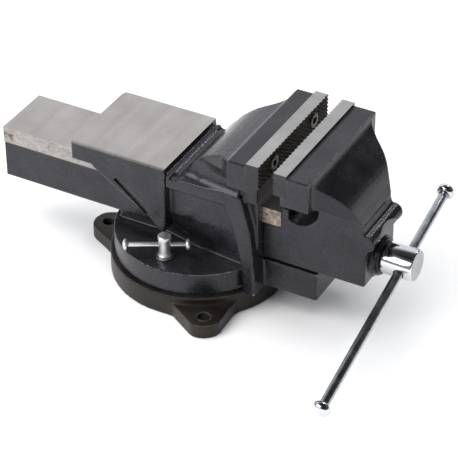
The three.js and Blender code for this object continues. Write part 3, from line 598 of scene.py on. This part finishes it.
def makeMovingJaw():
    s = jawSizes
    shells = bmesh.new()
    u = s["slideHalf"]
    block(shells, (s["slideRear"] - 3, 120), (-u, u), (s["slideLow"], s["slideTop"] + 4))
    block(shells, (s["slideRear"] - 3, s["railEnd"]), (-s["railHalf"] - 4, s["railHalf"] + 4),
          (s["railLow"], s["slideTop"] + 4))
    rear = s["scoopX"] - math.sqrt(s["scoopRadius"] ** 2 - (s["scoopZ"] - s["slideTop"]) ** 2)
    neck = [(rear - 6, s["slideLow"]), (rear - 6, s["slideTop"] + 4), (rear - 2, s["slideTop"] + 4)]
    for step in range(15):
        turn = math.radians(222 + 138 * step / 14)
        neck.append((s["scoopX"] + s["scoopRadius"] * math.cos(turn),
                     s["scoopZ"] + s["scoopRadius"] * math.sin(turn)))
    neck += [(151, s["blockLow"] + 2), (161, s["blockLow"] + 6)]
    neck += [(x, top) for x, half, top, low in s["shell"][3:]]
    neck += [(200.6, 134), (201.8, 129), (203.6, 125), (s["headFront"], 122), (s["headFront"], s["slideLow"])]
    prism(shells, neck, -u, u, "Y")
    shell = bmesh.new()
    loft(shell, [[(x, -half, low), (x, -half, top), (x, half, top), (x, half, low)]
                 for x, half, top, low in s["shell"]])
    addTo(shells, shell)
    jaw = [(s["ledge"], s["blockLow"]), (s["blockFront"], s["blockLow"]), (s["blockFront"], s["blockTop"]),
           (s["seat"] - 4, s["blockTop"]), (s["seat"] - 4, s["ledgeTop"] + 4), (s["ledge"], s["ledgeTop"] + 4)]
    prism(shells, jaw, -s["jawHalf"], s["jawHalf"], "Y")
    bead = turned([(0, -36.6), (8, -36.6), (9.4, -34.6), (9.4, 33.6), (0, 33.6)], 32)
    addTo(shells, bead, Matrix.Translation((204.4, 0, 115.5)) @ Matrix.Rotation(math.pi / 2, 4, "X"))
    alongScrew = Matrix.Translation((0, 0, s["screwAxis"])) @ Matrix.Rotation(math.pi / 2, 4, "Y")
    boss = [(0, 195), (s["bossRadius"] + 2.4, 195), (s["bossRadius"] + 2.4, 205.4), (s["bossRadius"], 207.5),
            (s["bossRadius"], s["bossEnd"] + 3), (0, s["bossEnd"] + 3)]
    addTo(shells, turned(boss, 64), alongScrew)

    cuts = bmesh.new()
    holes = bmesh.new()
    rearEnd = bmesh.new()
    block(cuts, (s["slideRear"] - 12, rear + 2), (-60, 60), (s["slideTop"], s["slideTop"] + 12), 1)
    block(rearEnd, (s["slideRear"] - 14, s["slideRear"]), (-62, 62), (s["slideLow"] - 8, s["slideTop"] + 14), 4)
    for side in (-1, 1):
        flat = sorted((side * s["railHalf"], side * (s["railHalf"] + 12)))
        block(holes, (s["slideRear"] - 12, s["railEnd"] + 2), flat, (s["railLow"] - 6, s["slideTop"] + 12), 2)
    block(cuts, (s["slideRear"] - 15, s["wallRear"]), (-s["hollowHalf"], s["hollowHalf"]),
          (s["slideLow"] - 5, s["hollowTop"]), 3)
    block(cuts, (s["ledge"] - 9, s["seat"]), (-80, 80), (s["ledgeTop"], 205), 3)
    addTo(cuts, turned([(0, s["bossEnd"]), (40, s["bossEnd"]), (40, 225), (0, 225)], 48), alongScrew, 4)
    block(holes, (200, 230), (-60, 60), (40, s["slideLow"]), 4)
    addTo(holes, turned([(0, 185), (s["boreRadius"], 185), (s["boreRadius"], 215), (0, 215)], 48), alongScrew, 3)
    for side in (-1, 1):
        spot = Matrix.Translation((130, side * s["screwSide"], s["screwHeight"])) @ Matrix.Rotation(math.pi / 2, 4, "Y")
        addTo(holes, turned([(0, 0), (4.3, 0), (4.3, 26), (0, 26)], 24), spot, 3)
    finishes = [paint, groundTop, rail, bore, paint]
    jaw = casting("movingJawCasting", shells, [cuts, holes, rearEnd], finishes, 1.1, 6, 0.45)
    return fit(jaw, "moving_jaw", "moving")


makeMovingJaw()
print("castings made")


# ---------- jaw plates and their screws

plateSizes = {"toothWide": 6.3, "toothTall": 4.4, "toothDeep": 1.9, "headRadius": 8.3, "screwRadius": 4.3,
              "screwSide": 43}


def makePlate(name, node, body, facing):
    s = plateSizes
    low, high = boxOf(node)
    face = high.x if facing > 0 else low.x
    back = low.x if facing > 0 else high.x
    middle = (low + high) / 2
    bm = bmesh.new()
    bmesh.ops.create_grid(bm, x_segments=34, y_segments=34, size=17)
    bmesh.ops.rotate(bm, cent=(0, 0, 0), matrix=Matrix.Rotation(math.pi / 4, 3, "Z"), verts=bm.verts)
    root = math.sqrt(2)
    bmesh.ops.scale(bm, vec=(s["toothWide"] / root, s["toothTall"] / root, 1), verts=bm.verts)
    bmesh.ops.poke(bm, faces=bm.faces, offset=s["toothDeep"])
    stand = Matrix.Rotation(facing * math.pi / 2, 4, "Z") @ Matrix.Rotation(math.pi / 2, 4, "X")
    bm.transform(Matrix.Translation((face - facing * s["toothDeep"], middle.y, middle.z)) @ stand)
    for spot, out in ((low, (0, -1, 0)), (low, (0, 0, -1)), (high, (0, 1, 0)), (high, (0, 0, 1))):
        bmesh.ops.bisect_plane(bm, geom=bm.verts[:] + bm.edges[:] + bm.faces[:], plane_co=spot, plane_no=out,
                               clear_outer=True)
    rim = [e for e in bm.edges if e.is_boundary]
    pulled = bmesh.ops.extrude_edge_only(bm, edges=rim)
    verts = [g for g in pulled["geom"] if isinstance(g, bmesh.types.BMVert)]
    bmesh.ops.scale(bm, vec=(0, 1, 1), space=Matrix.Translation((-back, 0, 0)), verts=verts)
    bmesh.ops.contextual_create(bm, geom=[e for e in bm.edges if e.is_boundary])
    bmesh.ops.recalc_face_normals(bm, faces=bm.faces)
    for f in bm.faces:
        front = f.normal.x * facing > 0.3
        f.material_index = 1 if front else 0 if f.normal.z > 0.9 else 2
    made = shapeOf(name, bm, [plateTop, teeth, paint], 20)
    cutter = bmesh.new()
    for side in (-1, 1):
        turn = Matrix.Rotation(facing * math.pi / 2, 4, "Y")
        spot = Matrix.Translation((face, side * s["screwSide"], middle.z)) @ turn
        seat = [(0, -20), (s["screwRadius"], -20), (s["screwRadius"], -5.3), (s["headRadius"], -1.3),
                (s["headRadius"], 4), (0, 4)]
        addTo(cutter, turned(seat, 40), spot, 1)
    hole = shapeOf(name + "Holes", cutter, [plateTop, teeth, paint])
    cut = made.modifiers.new("holes", "BOOLEAN")
    cut.operation = "DIFFERENCE"
    cut.solver = "EXACT"
    cut.object = hole
    done = bpy.data.meshes.new_from_object(made.evaluated_get(bpy.context.evaluated_depsgraph_get()))
    made.modifiers.clear()
    made.data = done
    bpy.data.objects.remove(hole)
    shade(done, 20)
    print(name, len(done.polygons), "faces")
    return fit(made, node, body)


makePlate("fixedJawPlate", "fixed_jaw_plate", "fixed", 1)
makePlate("movingJawPlate", "moving_jaw_plate", "moving", -1)


def makeJawScrew(node, body, facing):
    low, high = boxOf(node)
    face = high.x if facing > 0 else low.x
    length = high.x - low.x
    bm = turned([(0, -length), (3, -length), (4, -length + 1), (4, -5), (8, -1.2), (8, 0), (3.6, 0), (3.6, -3.6), (0, -3.6)], 40)
    soften(bm, 0.25, 2)
    bm.transform(Matrix.Translation((face, (low.y + high.y) / 2, (low.z + high.z) / 2))
                 @ Matrix.Rotation(facing * math.pi / 2, 4, "Y"))
    made = shapeOf("visual_" + node, bm, [teeth])
    return fit(made, node, body)


for side in ("left", "right"):
    makeJawScrew("fixed_jaw_screw_" + side, "fixed", 1)
    makeJawScrew("moving_jaw_screw_" + side, "moving", -1)
print("jaw plates made")


# ---------- lead screw, washers, spring and collar

screwSizes = {
    "root": 11.2, "crest": 14, "pitch": 6, "threadEnd": 152, "headRadius": 16.8, "holeRadius": 5.9,
}


def alongX(node):
    return Matrix.Translation((0, 0, centreOf(node).z)) @ Matrix.Rotation(math.pi / 2, 4, "Y")


def makeLeadScrew():
    s = screwSizes
    low, high = boxOf("lead_screw")
    headStart = boxOf("thrust_washer")[1].x + 0.3
    pitch = s["pitch"]
    bm = bmesh.new()
    start = low.x - 1.5 * pitch
    tooth = [(s["root"], 0), (s["root"], 0.30 * pitch), (s["crest"], 0.42 * pitch), (s["crest"], 0.88 * pitch),
             (s["root"], pitch)]
    verts = [bm.verts.new((r, 0, start + h)) for r, h in tooth]
    edges = [bm.edges.new(pair) for pair in zip(verts, verts[1:])]
    turns = math.ceil((s["threadEnd"] - start) / pitch) + 1
    perTurn = 28
    bmesh.ops.spin(bm, geom=verts + edges, axis=(0, 0, 1), cent=(0, 0, 0), dvec=(0, 0, pitch / perTurn),
                   angle=fullTurn * turns, steps=perTurn * turns)
    bmesh.ops.remove_doubles(bm, verts=bm.verts, dist=0.02)
    for place, direction in ((low.x, -1), (s["threadEnd"], 1)):
        cut = bmesh.ops.bisect_plane(bm, geom=bm.verts[:] + bm.edges[:] + bm.faces[:], plane_co=(0, 0, place),
                                     plane_no=(0, 0, direction), clear_outer=True)
        rim = [g for g in cut["geom_cut"] if isinstance(g, bmesh.types.BMEdge)]
        bmesh.ops.contextual_create(bm, geom=rim)
    bmesh.ops.recalc_face_normals(bm, faces=bm.faces)
    joint = s["threadEnd"] - 1
    shank = [(0, joint), (s["crest"] - 0.6, joint), (s["crest"] - 0.05, joint + 1), (s["crest"] - 0.05, headStart),
             (s["headRadius"] - 1, headStart), (s["headRadius"], headStart + 1),
             (s["headRadius"], high.x - 1.1), (s["headRadius"] - 1.1, high.x), (0, high.x)]
    solid = turned(shank, 72)
    soften(solid, 0.3, 2, 20)
    for face in solid.faces:
        face.material_index = 1 if face.calc_center_median().z > headStart - 0.2 else 0
        if face.normal.z > 0.98 and face.calc_center_median().z > high.x - 0.2:
            face.material_index = 2
    addTo(bm, solid)
    bm.transform(alongX("lead_screw"))
    made = shapeOf("leadScrew", bm, [barSteel, chrome, faceSteel], 35)
    drill = bmesh.new()
    reach = 24
    profile = [(0, -reach), (s["holeRadius"], -reach), (s["holeRadius"], reach), (0, reach)]
    addTo(drill, turned(profile, 40), handlePlace(Vector((centreOf("handle_knob_upper").x, 0,
                                                          centreOf("lead_screw").z))), 1)
    hole = shapeOf("screwHole", drill, [barSteel, chrome, faceSteel])
    cut = made.modifiers.new("hole", "BOOLEAN")
    cut.operation = "DIFFERENCE"
    cut.solver = "EXACT"
    cut.object = hole
    done = bpy.data.meshes.new_from_object(made.evaluated_get(bpy.context.evaluated_depsgraph_get()))
    made.modifiers.clear()
    made.data = done
    bpy.data.objects.remove(hole)
    shade(done, 35)
    return fit(made, "lead_screw", "spindle")


# The bar leans up towards the far side by this much
handleTilt = 16.3


def handlePlace(spot):
    return Matrix.Translation(spot) @ Matrix.Rotation(-math.radians(90 - handleTilt), 4, "X")


makeLeadScrew()


def makeRing(node, body, material, inner, outer, edge=0.3, place=None):
    low, high = boxOf(node)
    onScrew = place is None
    a, b = (low.x, high.x) if onScrew else (low.z, high.z)
    bm = turned([(inner, a), (outer, a), (outer, b), (inner, b)], 56, closed=True)
    soften(bm, edge, 2)
    bm.transform(alongX(node) if onScrew else place)
    made = shapeOf("visual_" + node, bm, [material])
    return fit(made, node, body)


makeRing("thrust_washer", "spindle", oxide, 14.3, 19.5)
makeRing("retaining_collar", "spindle", oxide, 14.3, 19, 0.6)
nutCentre = Matrix.Translation((centreOf("nut_bolt").x, 0, 0))
makeRing("nut_bolt_washer", "fixed", oxide, 6.3, 11, 0.3, nutCentre)


def makePin():
    low, high = boxOf("collar_pin")
    bm = turned([(0, low.z), (2.5, low.z), (2.5, high.z), (0, high.z)], 24)
    soften(bm, 0.5, 2)
    bm.transform(Matrix.Translation((centreOf("collar_pin").x, 0, 0)))
    fit(shapeOf("visual_collar_pin", bm, [barSteel]), "collar_pin", "spindle")


springSizes = {"wire": 1.5, "mean": 17.3, "turns": 3.5}


def makeSpring():
    s = springSizes
    low, high = boxOf("retaining_spring")
    bm = bmesh.new()
    ring = bmesh.ops.create_circle(bm, cap_ends=False, radius=s["wire"], segments=12)
    bm.transform(Matrix.Translation((s["mean"], 0, low.x + s["wire"])) @ Matrix.Rotation(math.pi / 2, 4, "X"))
    steps = round(36 * s["turns"])
    rise = (high.x - low.x - 2 * s["wire"]) / steps
    bmesh.ops.spin(bm, geom=bm.verts[:] + bm.edges[:], axis=(0, 0, 1), cent=(0, 0, 0), dvec=(0, 0, rise),
                   angle=fullTurn * s["turns"], steps=steps)
    bmesh.ops.remove_doubles(bm, verts=bm.verts, dist=1e-4)
    bmesh.ops.holes_fill(bm, edges=[e for e in bm.edges if e.is_boundary])
    bmesh.ops.recalc_face_normals(bm, faces=bm.faces)
    bm.transform(alongX("lead_screw"))
    fit(shapeOf("visual_retaining_spring", bm, [barSteel]), "retaining_spring", "spindle")


def makeNut():
    low, high = boxOf("lead_nut")
    axis = centreOf("lead_screw").z
    half = (high.y - low.y) / 2
    foot = 63.0
    shells = bmesh.new()
    arch = [(-half, foot), (half, foot)]
    arch += [(half * math.cos(t), axis + half * math.sin(t)) for t in
             (math.radians(a) for a in range(0, 181, 9))]
    prism(shells, arch, low.x, high.x, "X")
    tail = Matrix.Translation((centreOf("nut_bolt").x, 0, 0))
    addTo(shells, turned([(0, low.z), (13, low.z), (13, 67), (0, 67)], 48), tail)
    cuts = bmesh.new()
    addTo(cuts, turned([(0, low.x - 2), (14.3, low.x - 2), (14.3, high.x + 2), (0, high.x + 2)], 48),
          alongX("lead_screw"), 1)
    addTo(cuts, turned([(0, low.z - 2), (6.3, low.z - 2), (6.3, 65), (0, 65)], 32), tail, 1)
    nut = casting("visual_lead_nut", shells, [cuts], [cast, bore], 1.0, 2)
    fit(nut, "lead_nut", "fixed")


def makeNutBolt():
    low, high = boxOf("nut_bolt")
    bm = bmesh.new()
    addTo(bm, turned([(0, low.z), (10, low.z), (10, low.z + 8), (0, low.z + 8)], 6))
    soften(bm, 0.5, 2)
    shank = turned([(0, low.z + 7), (6, low.z + 7), (6, high.z), (0, high.z)], 32)
    soften(shank, 0.5, 2)
    addTo(bm, shank)
    bm.transform(nutCentre)
    fit(shapeOf("visual_nut_bolt", bm, [oxide]), "nut_bolt", "fixed")


makePin()
makeSpring()
makeNut()
makeNutBolt()
print("screw parts made")


# ---------- handle

handleSizes = {"barRadius": 5, "length": 300, "knobRadius": 9.4, "knobLength": 10}


def makeBar(name, node, body, radius, length, place, material):
    bm = turned([(0, -length / 2), (radius, -length / 2), (radius, length / 2), (0, length / 2)], 40)
    soften(bm, 0.4, 2)
    bm.transform(place)
    fit(shapeOf(name, bm, [material]), node, body)


# A turned knob whose flat side faces the middle of the bar and whose dome faces outwards
def makeKnob(name, node, body, radius, length, barRadius, barLength, end, place, material):
    inner = barLength / 2 - length
    outer = barLength / 2
    profile = [(barRadius + 0.3, inner), (radius - 2.4, inner), (radius - 0.5, inner + 0.18 * length),
               (radius, inner + 0.38 * length), (radius - 0.2, inner + 0.62 * length),
               (radius - 1.6, outer - 0.16 * length), (radius - 3.4, outer - 0.04 * length), (radius - 5, outer),
               (0, outer), (0, outer - 2), (barRadius + 0.3, outer - 2)]
    bm = turned(profile, 48)
    soften(bm, 0.35, 2, 40)
    flip = Matrix.Identity(4) if end > 0 else Matrix.Rotation(math.pi, 4, "X")
    bm.transform(place @ flip)
    fit(shapeOf(name, bm, [material], 40), node, body)


h = handleSizes
handleSpot = handlePlace(centreOf("handle_bar"))
makeBar("handleBar", "handle_bar", "handle", h["barRadius"], h["length"] - 4.6, handleSpot, barSteel)
for end, label in ((1, "upper"), (-1, "lower")):
    makeKnob("handleKnob_" + label, "handle_knob_" + label, "handle", h["knobRadius"], h["knobLength"],
             h["barRadius"], h["length"], end, handleSpot, chrome)
print("handle made")


# ---------- swivel locks

lockSizes = {"barRadius": 2.4, "length": 70, "knobRadius": 6, "knobLength": 5.6, "turn": 28.2}


def makeLock(side, sign):
    s = lockSizes
    low, high = boxOf("lock_bolt_" + side)
    spot = Matrix.Translation((centreOf("lock_bolt_" + side).x, centreOf("lock_bolt_" + side).y, 0))
    barHigh = centreOf("lock_bar_" + side).z
    foot = boxOf("lock_washer_" + side)[1].z + 0.3
    profile = [(0, low.z), (4, low.z), (5, low.z + 1), (5, foot), (7.4, foot), (7.2, foot + 1.2),
               (6.4, foot + 2), (6.1, foot + 6), (6.2, high.z - 9), (6.8, high.z - 5), (7, high.z - 3.6),
               (7, high.z - 0.9), (6.2, high.z), (0, high.z)]
    bm = turned(profile, 48)
    soften(bm, 0.25, 2, 40)
    bm.transform(spot)
    made = shapeOf("lockBolt_" + side, bm, [zinc], 40)
    fit(made, "lock_bolt_" + side, "lock_bolt_" + side)
    washerLow, washerHigh = boxOf("lock_washer_" + side)
    ring = turned([(5.3, washerLow.z), (9.6, washerLow.z), (9.6, washerHigh.z), (5.3, washerHigh.z)], 48, closed=True)
    soften(ring, 0.4, 2)
    ring.transform(spot)
    fit(shapeOf("lockWasher_" + side, ring, [brass]), "lock_washer_" + side, "fixed")
    bar = centreOf("lock_bar_" + side)
    place = (Matrix.Translation((bar.x, bar.y, barHigh)) @ Matrix.Rotation(-sign * math.radians(s["turn"]), 4, "Z")
             @ Matrix.Rotation(math.pi / 2, 4, "Y"))
    ride = "lock_bar_" + side
    makeBar("lockBar_" + side, "lock_bar_" + side, ride, s["barRadius"], s["length"] - 4.6, place, zinc)
    for end, label in ((1, "front"), (-1, "rear")):
        makeKnob(f"lockKnob_{side}_{label}", f"lock_knob_{side}_{label}", ride, s["knobRadius"], s["knobLength"],
                 s["barRadius"], s["length"], end, place, zinc)
    nutLow, nutHigh = boxOf("lock_nut_" + side)
    nut = bmesh.new()
    block(nut, (-12, 12), (-10, 10), (nutLow.z, nutLow.z + 9))
    soften(nut, 0.6, 2)
    neck = bmesh.new()
    block(neck, (-7.5, 7.5), (-6, 6), (nutLow.z + 8, nutHigh.z))
    soften(neck, 0.5, 2)
    addTo(nut, neck)
    turn = math.atan2(centreOf("lock_bolt_" + side).y, centreOf("lock_bolt_" + side).x)
    nut.transform(spot @ Matrix.Rotation(turn, 4, "Z"))
    fit(shapeOf("lockNut_" + side, nut, [oxide]), "lock_nut_" + side, "fixed")


for side, sign in (("left", -1), ("right", 1)):
    makeLock(side, sign)
print("locks made")


# ---------- stage, light and camera

stageSizes = {"floor": 12.0, "colour": (0.93, 0.93, 0.935)}


def makeStage():
    bm = bmesh.new()
    bmesh.ops.create_grid(bm, x_segments=1, y_segments=1, size=stageSizes["floor"])
    mesh = bpy.data.meshes.new("floor")
    bm.to_mesh(mesh)
    bm.free()
    floor = bpy.data.objects.new("floor", mesh)
    scene.collection.objects.link(floor)
    material, surface, coords = newMaterial("paleFloor", {"Roughness": 0.9, "Specular IOR Level": 0.2})
    surface.inputs["Base Color"].default_value = (*stageSizes["colour"], 1)
    mesh.materials.append(material)


lights = {
    "overhead": {"spot": (-0.4, -0.2, 2.8), "size": (3.2, 3.0), "power": 104, "mirrored": False},
    "front": {"spot": (-0.95, -1.75, 1.30), "size": (2.0, 1.25), "power": 38, "mirrored": True},
    "kicker": {"spot": (0.57, 1.85, 1.77), "size": (0.3, 0.14), "power": 5, "mirrored": True},
}
roomSizes = {"back": 1.05, "front": 0.30, "ceiling": 0.08, "right": 0.10, "tint": (0.93, 0.95, 1.0)}


# A bright sweep behind and to the left, a dimmer room elsewhere and a dark ceiling for the metal to mirror
def makeRoom():
    s = roomSizes
    world = bpy.data.worlds.new("studio")
    scene.world = world
    world.use_nodes = True
    tree = world.node_tree
    direction = Wire(tree, tree.nodes.new("ShaderNodeTexCoord").outputs["Generated"])
    alongX = direction.node("ShaderNodeSeparateXYZ", None, {0: direction}, 0)
    alongY = direction.node("ShaderNodeSeparateXYZ", None, {0: direction}, 1)
    alongZ = direction.node("ShaderNodeSeparateXYZ", None, {0: direction}, 2)
    level = alongY.between(s["front"], s["back"], -0.35, 0.45) * alongZ.between(1, s["ceiling"], 0.70, 0.90)
    level = level * alongX.between(1, s["right"], 0.06, 0.34)
    background = tree.nodes["Background"]
    background.inputs["Color"].default_value = (*s["tint"], 1)
    tree.links.new(level.socket, background.inputs["Strength"])


def makeLights():
    for name, s in lights.items():
        lamp = bpy.data.lights.new(name, "AREA")
        lamp.shape = "RECTANGLE"
        lamp.size, lamp.size_y = s["size"]
        lamp.energy = s["power"]
        made = bpy.data.objects.new(name, lamp)
        made.location = s["spot"]
        aim = Vector((0, 0, 0.08)) - Vector(s["spot"])
        made.rotation_euler = aim.to_track_quat("-Z", "Y").to_euler()
        made.visible_glossy = s["mirrored"]
        scene.collection.objects.link(made)


cameraSizes = {"azimuth": 28.83, "elevation": 35.81, "roll": -0.35, "distance": 2.2789,
               "target": (0.03434, 0.0, 0.0557), "lens": 172.93}


def makeCamera():
    s = cameraSizes
    azimuth, elevation = math.radians(s["azimuth"]), math.radians(s["elevation"])
    back = Vector((math.sin(azimuth) * math.cos(elevation), -math.cos(azimuth) * math.cos(elevation),
                   math.sin(elevation)))
    data = bpy.data.cameras.new("camera")
    data.lens = s["lens"]
    data.sensor_width = 36
    made = bpy.data.objects.new("camera", data)
    turn = (-back).to_track_quat("-Z", "Y").to_matrix().to_4x4()
    place = Matrix.Translation(Vector(s["target"]) + back * s["distance"])
    made.matrix_world = place @ turn @ Matrix.Rotation(math.radians(s["roll"]), 4, "Z")
    scene.collection.objects.link(made)
    scene.camera = made


makeStage()
makeRoom()
makeLights()
makeCamera()
scene.view_settings.view_transform = "Standard"
print("stage made")
